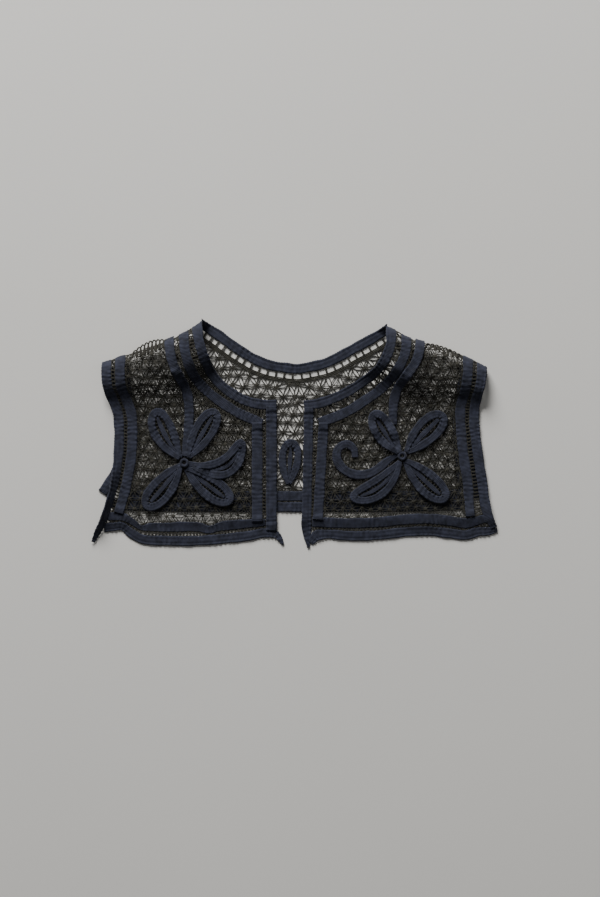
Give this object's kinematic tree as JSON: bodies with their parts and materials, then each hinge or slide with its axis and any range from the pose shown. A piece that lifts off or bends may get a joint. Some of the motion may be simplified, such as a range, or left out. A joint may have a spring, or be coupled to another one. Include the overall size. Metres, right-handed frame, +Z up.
{
  "type": "lace collar",
  "caption": "Open-fronted lace collar of woven tapes, needle-made net and looped-tape flowers, laid flat.",
  "frame": {"origin": "middle of the collar's outline, on the surface it lies on", "axes": "+X across the fronts towards the one shown on the right, +Y towards the neck, +Z up"},
  "size_m": [0.3856, 0.2164, 0.0203],
  "materials": {
    "lace_tape": "matt woven cotton, blue-black",
    "net_thread": "matt twisted cotton thread, brown-black"
  },
  "bodies": {
    "root": {"back_neck": "lace_tape", "back_hem_outer": "lace_tape", "back_hem_inner": "lace_tape", "back_side_outer_left": "lace_tape", "back_side_inner_left": "lace_tape", "back_side_outer_right": "lace_tape", "back_side_inner_right": "lace_tape", "back_motif": "lace_tape", "left_neck_outer": "lace_tape", "left_neck_inner": "lace_tape", "left_stem": "lace_tape", "left_front_outer": "lace_tape", "left_front_inner": "lace_tape", "left_hem_outer": "lace_tape", "left_hem_inner": "lace_tape", "left_side_outer": "lace_tape", "left_side_inner": "lace_tape", "left_petal_upper_right": "lace_tape", "left_petal_upper_left": "lace_tape", "left_petal_lower_left": "lace_tape", "left_petal_lower_right": "lace_tape", "left_petal_right": "lace_tape", "right_neck_outer": "lace_tape", "right_neck_inner": "lace_tape", "right_stem": "lace_tape", "right_front_outer": "lace_tape", "right_front_inner": "lace_tape", "right_hem_outer": "lace_tape", "right_hem_inner": "lace_tape", "right_side_outer": "lace_tape", "right_side_inner": "lace_tape", "right_petal_upper_right": "lace_tape", "right_petal_upper_left": "lace_tape", "right_petal_lower_left": "lace_tape", "right_petal_lower_right": "lace_tape", "right_petal_left": "lace_tape", "back_neck_ladder": "net_thread", "back_net": "net_thread", "left_ring": "net_thread", "left_net": "net_thread", "left_neck_ladder": "net_thread", "left_side_ladder": "net_thread", "left_front_ladder": "net_thread", "left_hem_ladder": "net_thread", "right_ring": "net_thread", "right_net": "net_thread", "right_neck_ladder": "net_thread", "right_side_ladder": "net_thread", "right_front_ladder": "net_thread", "right_hem_ladder": "net_thread"}
  },
  "joints": []
}
